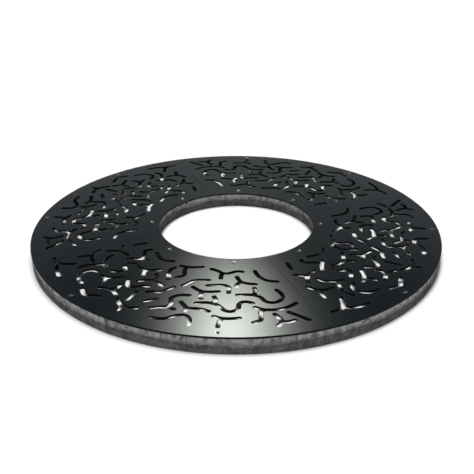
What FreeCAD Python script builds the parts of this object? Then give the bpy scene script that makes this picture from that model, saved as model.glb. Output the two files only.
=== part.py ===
import FreeCAD, Part
import math
import os
import Sketcher

# Round steel tree grate: four slotted quarter plates screwed to a bolted frame of flat bars.
# Millimetres, +Z up. The origin is the centre of the tree opening at the frame's underside.
# The seams between the quarters lie on the X and Y axes.

# Driving dimensions: name, value, and what the value measures. Angles are in degrees.
SIZES = (
    ("plate_outer_radius", 650.0, "centre to the outer edge of the plates"),
    ("opening_radius", 250.0, "centre to the inner edge of the plates, round the tree"),
    ("plate_thickness", 6.0, "steel plate"),
    ("seam_gap", 1.0, "open joint between neighbouring quarters"),
    ("bar_height", 45.0, "height of the flat bars on edge that make the frame"),
    ("bar_thickness", 6.0, "thickness of those bars"),
    ("outer_setback", 1.0, "plate edge to the outer face of the outer rim"),
    ("inner_setback", 5.0, "plate edge to the inner face of the inner rim"),
    ("weld_gap", 0.1, "square end of an end bar to the curved face of the outer rim"),
    ("slot_grid", 1.0, "one step of the grid that the slots are drawn on"),
    ("slot_width", 13.0, "width of every slot"),
    ("slot_web_radius", 4.0, "least corner radius where the arms of a slot meet"),
    ("inner_land", 50.0, "least solid plate between a slot's centre line and the opening"),
    ("outer_land", 40.0, "least solid plate between a slot's centre line and the outer edge"),
    ("seam_land", 25.0, "least solid plate between a slot's centre line and a seam"),
    ("inner_screw_inset", 24.0, "opening edge to the inner screw circle"),
    ("outer_screw_inset", 19.0, "outer plate edge to the outer screw circle"),
    ("inner_screw_spread", 22.5, "angle of an inner screw from the middle of its quarter"),
    ("outer_screw_spread", 20.0, "angle of an outer screw from the middle of its quarter"),
    ("screw_diameter", 8.0, "shank of the countersunk screws"),
    ("screw_head_diameter", 16.0, "flush head of the countersunk screws"),
    ("screw_length", 20.0, "whole length of a countersunk screw, head included"),
    ("screw_point", 0.8, "chamfer at the end of a countersunk screw"),
    ("socket_width", 5.0, "hexagon socket in the screw head, across its flats"),
    ("socket_depth", 3.0, "depth of that socket"),
    ("head_clearance", 0.3, "room round a screw head in its countersink"),
    ("shank_clearance", 0.5, "room round a screw or bolt shank in a plain hole"),
    ("thread_clearance", 0.3, "room round a screw or bolt shank in a tapped hole"),
    ("lug_width", 40.0, "tapped lug, along the rim"),
    ("lug_reach", 30.0, "tapped lug, out from the face of its rim"),
    ("lug_thickness", 10.0, "tapped lug, top to bottom"),
    ("bolt_diameter", 10.0, "bolts that join neighbouring quarter frames"),
    ("bolt_inset", 70.0, "end of an end bar to the nearer bolt"),
    ("bolt_head_width", 16.0, "bolt heads and nuts, across their flats"),
    ("bolt_head_height", 6.4, "bolt head along the bolt"),
    ("bolt_overrun", 4.0, "thread that stands out of the nut"),
    ("nut_height", 8.4, "nut along the bolt"),
    ("washer_diameter", 20.0, "washers and spacers"),
    ("washer_thickness", 2.0, "washers under heads and nuts"),
)

# Quarters and seams, counter-clockwise from the +X axis. Seam number n opens quarter number n.
QUARTERS = ("back_right", "back_left", "front_left", "front_right")
SEAMS = ("right", "back", "left", "front")
QUARTER_ANGLE = 360.0 / len(QUARTERS)

# The slots of one quarter on the slot grid, as pairs (across, out): out runs from the centre of the grate
# along the middle of the quarter, and across runs counter-clockwise from there. Each slot is a starting
# point and the arms that leave it. A slot with three arms branches at that point.
SLOTS = (
    ((-219, 271), [(-193, 249)]),
    ((-240, 327), [(-242, 308), (-248, 292)], [(-257, 331), (-271, 340)], [(-220, 328), (-203, 336)]),
    ((-156, 341), [(-156, 322), (-163, 305), (-169, 288), (-157, 279)],
     [(-172, 347), (-189, 355)], [(-134, 338)]),
    ((-129, 291), [(-113, 308), (-98, 321), (-80, 322), (-60, 316)]),
    ((-297, 383), [(-300, 364), (-297, 346)], [(-289, 398), (-272, 411)], [(-313, 392), (-329, 406)]),
    ((-233, 411), [(-241, 392), (-249, 375), (-243, 358)], [(-221, 425)],
     [(-251, 422), (-267, 431), (-282, 443), (-288, 456), (-287, 469)]),
    ((-174, 398), [(-160, 417), (-163, 431), (-191, 438)]),
    ((-106, 394), [(-121, 393), (-137, 385), (-153, 372), (-173, 378)],
     [(-85, 386), (-66, 375)], [(-104, 409), (-98, 425)]),
    ((-57, 437), [(-56, 419), (-66, 404)], [(-77, 443), (-93, 454)], [(-38, 441), (-19, 452)]),
    ((-37, 348), [(-44, 362), (-41, 379), (-30, 396), (-23, 413)]),
    ((-5, 330), [(-27, 332)], [(15, 323), (34, 312)], [(-6, 348), (3, 364), (10, 378), (-6, 394)]),
    ((103, 323), [(83, 315), (63, 313)], [(118, 317), (127, 304), (136, 294), (150, 292)],
     [(104, 337), (110, 350)]),
    ((181, 274), [(193, 290), (209, 302), (227, 309), (243, 308), (260, 303)]),
    ((169, 346), [(158, 337), (148, 325)], [(190, 347), (211, 341)], [(165, 362), (168, 374)]),
    ((228, 395), [(207, 403), (188, 413)], [(227, 379), (216, 362)],
     [(246, 397), (259, 406), (273, 415), (290, 411), (303, 396), (304, 377), (294, 358), (274, 346)]),
    ((31, 427), [(39, 410), (44, 394), (54, 384), (68, 380), (83, 372)]),
    ((93, 400), [(108, 393), (121, 384), (137, 379), (151, 385), (157, 398), (162, 412)]),
    ((94, 435), [(77, 432), (61, 424)], [(113, 429), (134, 417)], [(97, 452), (107, 468)]),
    ((279, 452), [(255, 450)], [(296, 446), (313, 436), (328, 421), (339, 404), (345, 387)],
     [(278, 470), (286, 485), (293, 499), (279, 517)]),
    ((342, 436), [(403, 449)]),
    ((343, 484), [(331, 471), (313, 460)], [(358, 478), (370, 465)], [(340, 504)]),
    ((147, 477), [(126, 481), (105, 494)], [(147, 460), (135, 446)],
     [(163, 480), (176, 489), (189, 497), (204, 497), (215, 486), (218, 470), (210, 455), (213, 440),
      (226, 433), (241, 434)]),
    ((46, 542), [(47, 523), (38, 510), (33, 496), (40, 482), (54, 471), (72, 467)],
     [(26, 549), (9, 562)], [(67, 544)]),
    ((95, 526), [(80, 515), (67, 505)], [(113, 519), (132, 514), (153, 516)], [(97, 540)]),
    ((198, 533), [(175, 532)], [(218, 525), (238, 513)], [(199, 551), (205, 570)]),
    ((31, 600), [(52, 599), (68, 591), (78, 576), (90, 562), (108, 556), (123, 565), (130, 578), (135, 591)]),
    ((-64, 583), [(-81, 573), (-95, 560)], [(-44, 586), (-24, 577)], [(-63, 603)]),
    ((-211, 554), [(-199, 567), (-186, 577), (-166, 572), (-141, 568)]),
    ((-135, 526), [(-152, 526), (-172, 531)], [(-120, 533), (-107, 545)], [(-125, 510), (-127, 494)]),
    ((-67, 509), [(-69, 551)]),
    ((-23, 539), [(0, 518)]),
    ((-122, 461), [(-116, 477), (-105, 491), (-91, 493), (-79, 484), (-68, 473), (-51, 469)]),
    ((-41, 496), [(-23, 487), (-6, 482), (0, 468), (13, 445)]),
    ((-184, 475), [(-204, 474)], [(-164, 468), (-144, 455)], [(-180, 507)]),
    ((-226, 456), [(-243, 455), (-257, 465), (-263, 481), (-260, 499), (-249, 516), (-231, 527)]),
    ((-355, 464), [(-375, 457), (-389, 444)], [(-335, 457), (-314, 446)],
     [(-350, 482), (-337, 499), (-313, 520)]),
)
BEND_SHARE = 0.48      # part of the shorter of two runs that a bend between them takes up
WEB_SHARE = 0.45       # part of the shorter of two arms that the web between them may take up

ORIGIN = FreeCAD.Vector(0, 0, 0)
UP = FreeCAD.Vector(0, 0, 1)
RIGHT = FreeCAD.Vector(1, 0, 0)
SKETCH_ORIGIN = (-1, 1)
SKETCH_X_AXIS = -1
SKETCH_Y_AXIS = -2
START, END, CENTRE = 1, 2, 3
TOUCHING = 1e-6        # points closer than this are one point
CUT_OVERRUN = 1.0      # how far the slot cutter stands out of the plate on both sides

document = FreeCAD.newDocument("tree_grate")
sheet = document.addObject("Spreadsheet::Sheet", "sizes")
for row, (name, value, note) in enumerate(SIZES, start=1):
    sheet.set(f"A{row}", name)
    sheet.set(f"B{row}", str(value))
    sheet.set(f"C{row}", note)
    sheet.setAlias(f"B{row}", name)
document.recompute()


class Size:
    """A size worked out from the sheet: its number, and the expression that drives it."""

    def __init__(self, number, text):
        self.number = number
        self.text = text

    def joined(self, other, sign, number):
        other_text = other.text if isinstance(other, Size) else str(other)
        return Size(number, f"({self.text} {sign} {other_text})")

    def __add__(self, other):
        return self.joined(other, "+", self.number + other.number)

    def __sub__(self, other):
        return self.joined(other, "-", self.number - other.number)

    def __mul__(self, factor):
        return self.joined(factor, "*", self.number * factor)

    def __truediv__(self, factor):
        return self.joined(factor, "/", self.number / factor)


def size(name):
    return Size(sheet.get(name), f"sizes.{name}")


ZERO = Size(0.0, "0")

# Sizes that several pieces share.
half_gap = size("seam_gap") / 2
plate_top = size("bar_height") + size("plate_thickness")
outer_rim_outer = size("plate_outer_radius") - size("outer_setback")
outer_rim_inner = outer_rim_outer - size("bar_thickness")
inner_rim_inner = size("opening_radius") + size("inner_setback")
inner_rim_outer = inner_rim_inner + size("bar_thickness")
inner_screw_circle = size("opening_radius") + size("inner_screw_inset")
outer_screw_circle = size("plate_outer_radius") - size("outer_screw_inset")
first_bolt = inner_rim_outer + size("bolt_inset")
last_bolt = outer_rim_inner - size("bolt_inset")
end_bar_end = outer_rim_inner - size("weld_gap")
end_bar_outer_face = half_gap + size("bar_thickness")
bolt_seat = end_bar_outer_face + size("washer_thickness")


def new_body(label, placement):
    body = document.addObject("PartDesign::Body", label)
    body.Label = label
    body.Placement = placement
    return body


def turned(angle):
    """Placement turned about the middle of the grate."""
    return FreeCAD.Placement(ORIGIN, FreeCAD.Rotation(UP, angle))


def origin_feature(body, role):
    return next(feature for feature in body.Origin.OriginFeatures if feature.Role == role)


def new_sketch(body, name, plane="XY_Plane", **offsets):
    """Sketch on a plane of its body, moved off the plane's origin by sizes named x, y or z."""
    sketch = body.newObject("Sketcher::SketchObject", f"{body.Name}_{name}")
    sketch.AttachmentSupport = [(origin_feature(body, plane), "")]
    sketch.MapMode = "FlatFace"
    for axis, offset in offsets.items():
        sketch.setExpression(f"AttachmentOffset.Base.{axis}", offset.text)
    return sketch


def limit(sketch, target, *arguments):
    """Constraint of a sketch whose value follows a size. Angles are drawn in radians, bound in degrees."""
    kind = arguments[0]
    number = math.radians(target.number) if kind == "Angle" else target.number
    index = sketch.addConstraint(Sketcher.Constraint(*arguments, number))
    sketch.setExpression(f"Constraints[{index}]", target.text)


def join_ends(sketch, first, first_end, second, second_end):
    sketch.addConstraint(Sketcher.Constraint("Coincident", first, first_end, second, second_end))


def pad(body, sketch, length):
    feature = body.newObject("PartDesign::Pad", f"{sketch.Name}_pad")
    feature.Profile = sketch
    feature.setExpression("Length", length.text)
    return feature


def draw_circle(sketch, out, radius):
    """Circle on the sketch's X axis."""
    centre = FreeCAD.Vector(out.number, 0, 0)
    circle = sketch.addGeometry(Part.Circle(centre, UP, radius.number))
    sketch.addConstraint(Sketcher.Constraint("PointOnObject", circle, CENTRE, SKETCH_X_AXIS))
    limit(sketch, out, "DistanceX", *SKETCH_ORIGIN, circle, CENTRE)
    limit(sketch, radius, "Radius", circle)


def draw_hexagon(sketch, out, across_flats):
    """Hexagon on the sketch's X axis, with two upright sides."""
    corner_radius = across_flats / math.sqrt(3.0)
    centre = FreeCAD.Vector(out.number, 0, 0)
    corners = []
    for number in range(6):
        angle = math.radians(60 * number - 30)
        corners.append(centre + FreeCAD.Vector(math.cos(angle), math.sin(angle), 0) * corner_radius.number)
    sides = [sketch.addGeometry(Part.LineSegment(corners[n], corners[(n + 1) % 6])) for n in range(6)]
    circle = sketch.addGeometry(Part.Circle(centre, UP, corner_radius.number), True)
    sketch.addConstraint(Sketcher.Constraint("PointOnObject", circle, CENTRE, SKETCH_X_AXIS))
    limit(sketch, out, "DistanceX", *SKETCH_ORIGIN, circle, CENTRE)
    limit(sketch, corner_radius, "Radius", circle)
    for number, side in enumerate(sides):
        join_ends(sketch, side, END, sides[(number + 1) % 6], START)
        sketch.addConstraint(Sketcher.Constraint("PointOnObject", side, START, circle))
    for side in sides[1:]:
        sketch.addConstraint(Sketcher.Constraint("Equal", sides[0], side))
    sketch.addConstraint(Sketcher.Constraint("Vertical", sides[0]))


def draw_quarter_ring(sketch, inner, outer):
    """Quarter of a flat ring about the sketch's X axis, half a gap short of the seam at each end."""
    half_angle = math.radians(QUARTER_ANGLE / 2)
    arcs = []
    for radius in (inner, outer):
        end_angle = half_angle - math.asin(half_gap.number / radius.number)
        circle = Part.Circle(ORIGIN, UP, radius.number)
        arc = sketch.addGeometry(Part.ArcOfCircle(circle, -end_angle, end_angle))
        join_ends(sketch, arc, CENTRE, *SKETCH_ORIGIN)
        limit(sketch, radius, "Radius", arc)
        arcs.append((arc, FreeCAD.Vector(math.cos(end_angle), math.sin(end_angle), 0) * radius.number))
    (inner_arc, inner_corner), (outer_arc, outer_corner) = arcs
    for arc_end, side in ((START, -1), (END, 1)):
        from_point = FreeCAD.Vector(inner_corner.x, side * inner_corner.y, 0)
        to_point = FreeCAD.Vector(outer_corner.x, side * outer_corner.y, 0)
        line = sketch.addGeometry(Part.LineSegment(from_point, to_point))
        join_ends(sketch, line, START, inner_arc, arc_end)
        join_ends(sketch, line, END, outer_arc, arc_end)
        sketch.addConstraint(Sketcher.Constraint("Angle", line, side * half_angle))
        limit(sketch, half_gap, "Distance", *SKETCH_ORIGIN, line)


def left_of(direction):
    return FreeCAD.Vector(-direction.y, direction.x, 0)


def line_to(edges, start, end):
    if start.distanceToPoint(end) > TOUCHING:
        edges.append(Part.makeLine(start, end))


def arm_bends(points, web_reach):
    """Tangent arcs at the inner points of an arm, each as (point, left normal) at start, middle and end."""
    runs = [after - before for before, after in zip(points, points[1:])]
    free_lengths = [run.Length for run in runs]
    free_lengths[0] -= web_reach
    bends = []
    for number in range(1, len(runs)):
        before = FreeCAD.Vector(runs[number - 1]).normalize()
        after = FreeCAD.Vector(runs[number]).normalize()
        tangent = BEND_SHARE * min(free_lengths[number - 1], free_lengths[number])
        radius = tangent / math.tan(before.getAngle(after) / 2)
        start = points[number] - before * tangent
        end = points[number] + after * tangent
        towards_left = 1 if left_of(before).dot(after) > 0 else -1
        middle_normal = (left_of(before) + left_of(after)).normalize()
        centre = start + left_of(before) * (towards_left * radius)
        middle = centre - middle_normal * (towards_left * radius)
        bends.append(((start, left_of(before)), (middle, middle_normal), (end, left_of(after))))
    return bends


def arm_edges(points, half_width, right_reach, left_reach):
    """Outline of one arm: out along its right side, round its tip and back along its left side."""
    bends = arm_bends(points, max(right_reach, left_reach))
    first = (points[1] - points[0]).normalize()
    last = (points[-1] - points[-2]).normalize()
    tip = points[-1]
    edges = []
    place = points[0] + first * right_reach - left_of(first) * half_width
    for bend in bends:
        start, middle, end = (point - normal * half_width for point, normal in bend)
        line_to(edges, place, start)
        edges.append(Part.Arc(start, middle, end).toShape())
        place = end
    tip_right = tip - left_of(last) * half_width
    tip_left = tip + left_of(last) * half_width
    line_to(edges, place, tip_right)
    edges.append(Part.Arc(tip_right, tip + last * half_width, tip_left).toShape())
    place = tip_left
    for bend in reversed(bends):
        end, middle, start = (point + normal * half_width for point, normal in bend)
        line_to(edges, place, start)
        edges.append(Part.Arc(start, middle, end).toShape())
        place = end
    line_to(edges, place, points[0] + first * left_reach + left_of(first) * half_width)
    return edges


def slot_face(node, arms, half_width, least_web):
    """Flat face of one slot. Neighbouring arms meet in a round web, or in a round outside corner."""
    ordered = sorted(arms, key=lambda arm: math.atan2(arm[0].y - node.y, arm[0].x - node.x))
    headings = [(arm[0] - node).normalize() for arm in ordered]
    webs = []
    for number, heading in enumerate(headings):
        following = (number + 1) % len(ordered)
        left, ahead = left_of(heading).dot(headings[following]), heading.dot(headings[following])
        opening = math.atan2(left, ahead) % (2 * math.pi) or 2 * math.pi
        between = FreeCAD.Rotation(UP, math.degrees(opening / 2)).multVec(heading)
        reach = 0.0
        middle = node + between * half_width
        if opening < math.pi:
            shorter = min((ordered[n][0] - node).Length for n in (number, following))
            slope = math.tan(opening / 2)
            radius = max(least_web, WEB_SHARE * shorter * slope - half_width)
            reach = (half_width + radius) / slope
            middle = node + between * ((half_width + radius) / math.sin(opening / 2) - radius)
        webs.append((reach, middle))
    edges = []
    for number, arm in enumerate(ordered):
        (right_reach, _), (left_reach, web_middle) = webs[number - 1], webs[number]
        edges += arm_edges([node] + arm, half_width, right_reach, left_reach)
        following = headings[(number + 1) % len(ordered)]
        web_start = node + headings[number] * left_reach + left_of(headings[number]) * half_width
        web_end = node + following * left_reach - left_of(following) * half_width
        edges.append(Part.Arc(web_start, web_middle, web_end).toShape())
    return Part.Face(Part.Wire(edges))


def is_in_field(points):
    """True if a slot's points keep the lands to the opening, the outer edge and the seams."""
    nearest = (size("opening_radius") + size("inner_land")).number
    farthest = (size("plate_outer_radius") - size("outer_land")).number
    half_angle = math.radians(QUARTER_ANGLE / 2)
    for point in points:
        from_seam = point.Length * math.sin(half_angle - abs(math.atan2(point.y, point.x)))
        if not nearest <= point.Length <= farthest or from_seam < size("seam_land").number:
            return False
    return True


def make_slot_cutter():
    """All slots of one quarter as one cutter that goes right through the plate."""
    step = size("slot_grid").number
    half_width = size("slot_width").number / 2
    faces = []
    for (across, out), *arms in SLOTS:
        node = FreeCAD.Vector(out * step, across * step, 0)
        arm_points = [[FreeCAD.Vector(out * step, across * step, 0) for across, out in arm] for arm in arms]
        if is_in_field([node] + sum(arm_points, [])):
            faces.append(slot_face(node, arm_points, half_width, size("slot_web_radius").number))
    cutter = document.addObject("Part::Feature", "slot_cutter")
    depth = size("plate_thickness").number + 2 * CUT_OVERRUN
    cutter.Shape = Part.makeCompound(faces).extrude(UP * depth)
    cutter.Placement = FreeCAD.Placement(UP * (size("bar_height").number - CUT_OVERRUN), FreeCAD.Rotation())
    return cutter


def make_plate_blank():
    """Quarter plate before its slots are cut: the sheet with its four countersunk screw holes."""
    body = new_body("plate_blank", turned(0))
    outline = new_sketch(body, "outline", z=size("bar_height"))
    draw_quarter_ring(outline, size("opening_radius"), size("plate_outer_radius"))
    pad(body, outline, size("plate_thickness"))
    hole_radius = size("screw_diameter") / 2 + size("shank_clearance")
    holes = new_sketch(body, "screw_holes", z=plate_top)
    circles = (
        (inner_screw_circle, size("inner_screw_spread")),
        (outer_screw_circle, size("outer_screw_spread")),
    )
    for circle_radius, spread in circles:
        for side in (-1, 1):
            angle = spread * side
            heading = math.radians(angle.number)
            centre = FreeCAD.Vector(math.cos(heading), math.sin(heading), 0) * circle_radius.number
            spoke = holes.addGeometry(Part.LineSegment(ORIGIN, centre), True)
            circle = holes.addGeometry(Part.Circle(centre, UP, hole_radius.number))
            join_ends(holes, spoke, START, *SKETCH_ORIGIN)
            join_ends(holes, spoke, END, circle, CENTRE)
            limit(holes, circle_radius, "Distance", spoke)
            limit(holes, angle, "Angle", spoke)
            limit(holes, hole_radius, "Radius", circle)
    document.recompute()
    hole = body.newObject("PartDesign::Hole", "countersunk_holes")
    hole.Profile = holes
    document.recompute()
    hole.DepthType = "ThroughAll"
    hole.HoleCutType = "Countersink"
    hole.HoleCutCustomValues = True
    hole.setExpression("Diameter", (hole_radius * 2).text)
    hole.setExpression("HoleCutDiameter", (size("screw_head_diameter") + size("head_clearance") * 2).text)
    hole.HoleCutCountersinkAngle = 90
    return body


def make_slotted_plate():
    """Quarter plate with its slots, which all four quarters share."""
    slotted = document.addObject("Part::Cut", "slotted_plate")
    slotted.Base = make_plate_blank()
    slotted.Tool = make_slot_cutter()
    slotted.Refine = False
    return slotted


def make_plate(label, slotted_plate, middle_angle):
    plate = document.addObject("Part::Compound", label)
    plate.Label = label
    plate.Links = [slotted_plate]
    plate.Placement = turned(middle_angle)
    return plate


def make_rim(label, inner, outer, middle_angle):
    """Flat bar on edge, rolled to a quarter of the ring."""
    body = new_body(label, turned(middle_angle))
    outline = new_sketch(body, "outline")
    draw_quarter_ring(outline, inner, outer)
    pad(body, outline, size("bar_height"))
    return body


def repeat_by_angle(body, features, angle):
    pattern = body.newObject("PartDesign::PolarPattern", f"{body.Name}_pair")
    pattern.Originals = features
    pattern.Axis = (origin_feature(body, "Z_Axis"), [""])
    pattern.setExpression("Angle", angle.text)
    pattern.Occurrences = 2
    body.Tip = pattern


def make_lugs(label, rim_face, free_end, screw_circle, spread, middle_angle):
    """Pair of tapped lugs under the plate, each shaped to the rim that it is welded to."""
    body = new_body(label, turned(middle_angle - spread.number))
    sketch = new_sketch(body, "outline", z=size("bar_height") - size("lug_thickness"))
    half_width = (size("lug_width") / 2).number
    corner_angle = math.asin(half_width / rim_face.number)
    weld = sketch.addGeometry(
        Part.ArcOfCircle(Part.Circle(ORIGIN, UP, rim_face.number), -corner_angle, corner_angle))
    join_ends(sketch, weld, CENTRE, *SKETCH_ORIGIN)
    limit(sketch, rim_face, "Radius", weld)
    rim_corner = FreeCAD.Vector(rim_face.number * math.cos(corner_angle), half_width, 0)
    flanks = []
    for weld_end, side in ((START, -1), (END, 1)):
        from_point = FreeCAD.Vector(rim_corner.x, side * half_width, 0)
        to_point = FreeCAD.Vector(free_end.number, side * half_width, 0)
        flank = sketch.addGeometry(Part.LineSegment(from_point, to_point))
        join_ends(sketch, flank, START, weld, weld_end)
        sketch.addConstraint(Sketcher.Constraint("Horizontal", flank))
        flanks.append(flank)
    low_corner = FreeCAD.Vector(free_end.number, -half_width, 0)
    high_corner = FreeCAD.Vector(free_end.number, half_width, 0)
    end_line = sketch.addGeometry(Part.LineSegment(low_corner, high_corner))
    join_ends(sketch, flanks[0], END, end_line, START)
    join_ends(sketch, flanks[1], END, end_line, END)
    symmetric = ("Symmetric", end_line, START, end_line, END, SKETCH_X_AXIS)
    sketch.addConstraint(Sketcher.Constraint(*symmetric))
    limit(sketch, free_end, "DistanceX", *SKETCH_ORIGIN, end_line, START)
    limit(sketch, size("lug_width"), "Distance", end_line)
    draw_circle(sketch, screw_circle, size("screw_diameter") / 2 + size("thread_clearance"))
    lug = pad(body, sketch, size("lug_thickness"))
    repeat_by_angle(body, [lug], spread * 2)
    return body


def make_screws(label, screw_circle, spread, middle_angle):
    """Pair of countersunk screws with hexagon sockets, their heads flush with the plate."""
    body = new_body(label, turned(middle_angle - spread.number))
    profile = new_sketch(body, "profile", plane="XZ_Plane", x=screw_circle)
    shank = size("screw_diameter") / 2
    head = size("screw_head_diameter") / 2
    point = shank - size("screw_point")
    lower_end = plate_top - size("screw_length")
    corners = (
        (ZERO, plate_top),
        (head, plate_top),
        (shank, plate_top - head + shank),
        (shank, lower_end + size("screw_point")),
        (point, lower_end),
        (ZERO, lower_end),
    )
    spots = [FreeCAD.Vector(out.number, height.number, 0) for out, height in corners]
    sides = [profile.addGeometry(Part.LineSegment(*pair)) for pair in zip(spots, spots[1:] + spots[:1])]
    for number, (out, height) in enumerate(corners):
        join_ends(profile, sides[number - 1], END, sides[number], START)
        if out is ZERO:
            on_axis = ("PointOnObject", sides[number], START, SKETCH_Y_AXIS)
            profile.addConstraint(Sketcher.Constraint(*on_axis))
        else:
            limit(profile, out, "DistanceX", *SKETCH_ORIGIN, sides[number], START)
        limit(profile, height, "DistanceY", *SKETCH_ORIGIN, sides[number], START)
    solid = body.newObject("PartDesign::Revolution", f"{body.Name}_turned")
    solid.Profile = profile
    solid.ReferenceAxis = (profile, ["V_Axis"])
    solid.Angle = 360
    socket_outline = new_sketch(body, "socket", z=plate_top)
    draw_hexagon(socket_outline, screw_circle, size("socket_width"))
    socket = body.newObject("PartDesign::Pocket", f"{body.Name}_socket_cut")
    socket.Profile = socket_outline
    socket.setExpression("Length", size("socket_depth").text)
    cuts.append((solid, socket))
    repeat_by_angle(body, [solid, socket], spread * 2)
    return body


def across_seam(seam_angle):
    """Placement of what lies along a seam: X out along it, Z square to it, at half the bars' height."""
    half_height = UP * (size("bar_height") / 2).number
    lay_over = FreeCAD.Rotation(RIGHT, -90)
    return FreeCAD.Placement(half_height, FreeCAD.Rotation(UP, seam_angle).multiply(lay_over))


def make_end_bar(label, seam_angle, near_face):
    """Flat bar on edge along one side of a seam, drilled for the bolts."""
    body = new_body(label, across_seam(seam_angle))
    sketch = new_sketch(body, "outline", z=near_face)
    half_height = (size("bar_height") / 2).number
    corners = (
        FreeCAD.Vector(inner_rim_outer.number, -half_height, 0),
        FreeCAD.Vector(end_bar_end.number, -half_height, 0),
        FreeCAD.Vector(end_bar_end.number, half_height, 0),
        FreeCAD.Vector(inner_rim_outer.number, half_height, 0),
    )
    sides = [sketch.addGeometry(Part.LineSegment(corners[n - 1], corners[n])) for n in range(4)]
    for number, side in enumerate(sides):
        join_ends(sketch, sides[number - 1], END, side, START)
    inner_side, lower_side, outer_side, upper_side = sides
    sketch.addConstraint(Sketcher.Constraint("Horizontal", lower_side))
    sketch.addConstraint(Sketcher.Constraint("Horizontal", upper_side))
    sketch.addConstraint(Sketcher.Constraint("Vertical", outer_side))
    sketch.addConstraint(
        Sketcher.Constraint("Symmetric", inner_side, START, inner_side, END, SKETCH_X_AXIS))
    limit(sketch, size("bar_height"), "Distance", inner_side)
    limit(sketch, inner_rim_outer, "DistanceX", *SKETCH_ORIGIN, inner_side, START)
    limit(sketch, end_bar_end, "DistanceX", *SKETCH_ORIGIN, outer_side, START)
    for bolt in (first_bolt, last_bolt):
        draw_circle(sketch, bolt, size("bolt_diameter") / 2 + size("shank_clearance"))
    pad(body, sketch, size("bar_thickness"))
    return body


def repeat_along_seam(body, features):
    pattern = body.newObject("PartDesign::LinearPattern", f"{body.Name}_pair")
    pattern.Originals = features
    pattern.Direction = (origin_feature(body, "X_Axis"), [""])
    pattern.setExpression("Length", (last_bolt - first_bolt).text)
    pattern.Occurrences = 2
    body.Tip = pattern


def make_bolts(label, seam_angle):
    body = new_body(label, across_seam(seam_angle))
    head_outline = new_sketch(body, "head", z=ZERO - bolt_seat - size("bolt_head_height"))
    draw_hexagon(head_outline, first_bolt, size("bolt_head_width"))
    head = pad(body, head_outline, size("bolt_head_height"))
    shank_outline = new_sketch(body, "shank", z=ZERO - bolt_seat)
    draw_circle(shank_outline, first_bolt, size("bolt_diameter") / 2)
    shank = pad(body, shank_outline, bolt_seat * 2 + size("nut_height") + size("bolt_overrun"))
    repeat_along_seam(body, [head, shank])
    return body


def make_nuts(label, seam_angle):
    body = new_body(label, across_seam(seam_angle))
    outline = new_sketch(body, "outline", z=bolt_seat)
    draw_hexagon(outline, first_bolt, size("bolt_head_width"))
    draw_circle(outline, first_bolt, size("bolt_diameter") / 2 + size("thread_clearance"))
    repeat_along_seam(body, [pad(body, outline, size("nut_height"))])
    return body


def make_rings(label, seam_angle, layers):
    """Washers or spacers: pairs of flat rings, one pair for each (start, thickness) across the seam."""
    body = new_body(label, across_seam(seam_angle))
    features = []
    for number, (start, thickness) in enumerate(layers):
        outline = new_sketch(body, f"ring_{number}", z=start)
        draw_circle(outline, first_bolt, size("washer_diameter") / 2)
        draw_circle(outline, first_bolt, size("bolt_diameter") / 2 + size("shank_clearance"))
        features.append(pad(body, outline, thickness))
    repeat_along_seam(body, features)
    return body


def make_quarter(quarter, slotted_plate, middle_angle):
    """Everything that belongs to one quarter, apart from its end bars."""
    inner_spread = size("inner_screw_spread")
    outer_spread = size("outer_screw_spread")
    inner_lug_end = inner_rim_outer + size("lug_reach")
    outer_lug_end = outer_rim_inner - size("lug_reach")
    return [
        make_plate(f"{quarter}_plate", slotted_plate, middle_angle),
        make_screws(f"{quarter}_inner_screws", inner_screw_circle, inner_spread, middle_angle),
        make_screws(f"{quarter}_outer_screws", outer_screw_circle, outer_spread, middle_angle),
        make_rim(f"{quarter}_inner_rim", inner_rim_inner, inner_rim_outer, middle_angle),
        make_rim(f"{quarter}_outer_rim", outer_rim_inner, outer_rim_outer, middle_angle),
        make_lugs(f"{quarter}_inner_lugs", inner_rim_outer, inner_lug_end, inner_screw_circle,
                  inner_spread, middle_angle),
        make_lugs(f"{quarter}_outer_lugs", outer_rim_inner, outer_lug_end, outer_screw_circle,
                  outer_spread, middle_angle),
    ]


def make_seam(seam, before, after, seam_angle):
    """The two end bars at a seam, of the quarters before and after it, and what bolts them together."""
    washer_seats = (ZERO - bolt_seat, end_bar_outer_face)
    washer_layers = [(seat, size("washer_thickness")) for seat in washer_seats]
    spacer_layers = [(ZERO - half_gap, size("seam_gap"))]
    return [
        make_end_bar(f"{before}_{seam}_end_bar", seam_angle, ZERO - end_bar_outer_face),
        make_end_bar(f"{after}_{seam}_end_bar", seam_angle, half_gap),
        make_bolts(f"{seam}_seam_bolts", seam_angle),
        make_nuts(f"{seam}_seam_nuts", seam_angle),
        make_rings(f"{seam}_seam_washers", seam_angle, washer_layers),
        make_rings(f"{seam}_seam_spacers", seam_angle, spacer_layers),
    ]


cuts = []
pieces = []
slotted_plate = make_slotted_plate()
for number, (quarter, seam) in enumerate(zip(QUARTERS, SEAMS)):
    seam_angle = number * QUARTER_ANGLE
    pieces += make_quarter(quarter, slotted_plate, seam_angle + QUARTER_ANGLE / 2)
    pieces += make_seam(seam, QUARTERS[number - 1], quarter, seam_angle)
document.recompute()

for item in document.Objects:
    if "Invalid" in item.State or "Error" in item.State:
        raise RuntimeError(f"{item.Label} failed: {item.State}")
for before, after in cuts + [(slotted_plate.Base, slotted_plate)]:
    if after.Shape.Volume >= before.Shape.Volume:
        raise RuntimeError(f"{after.Label} cuts nothing")
for piece in pieces:
    if piece.Shape.isNull() or not piece.Shape.isValid():
        raise RuntimeError(f"{piece.Label} has no valid shape")

os.makedirs("parts", exist_ok=True)
for piece in pieces:
    piece.Shape.exportStep(f"parts/{piece.Label}.step")
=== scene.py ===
import math

import bmesh
import bpy
from mathutils import Matrix, Vector


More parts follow.
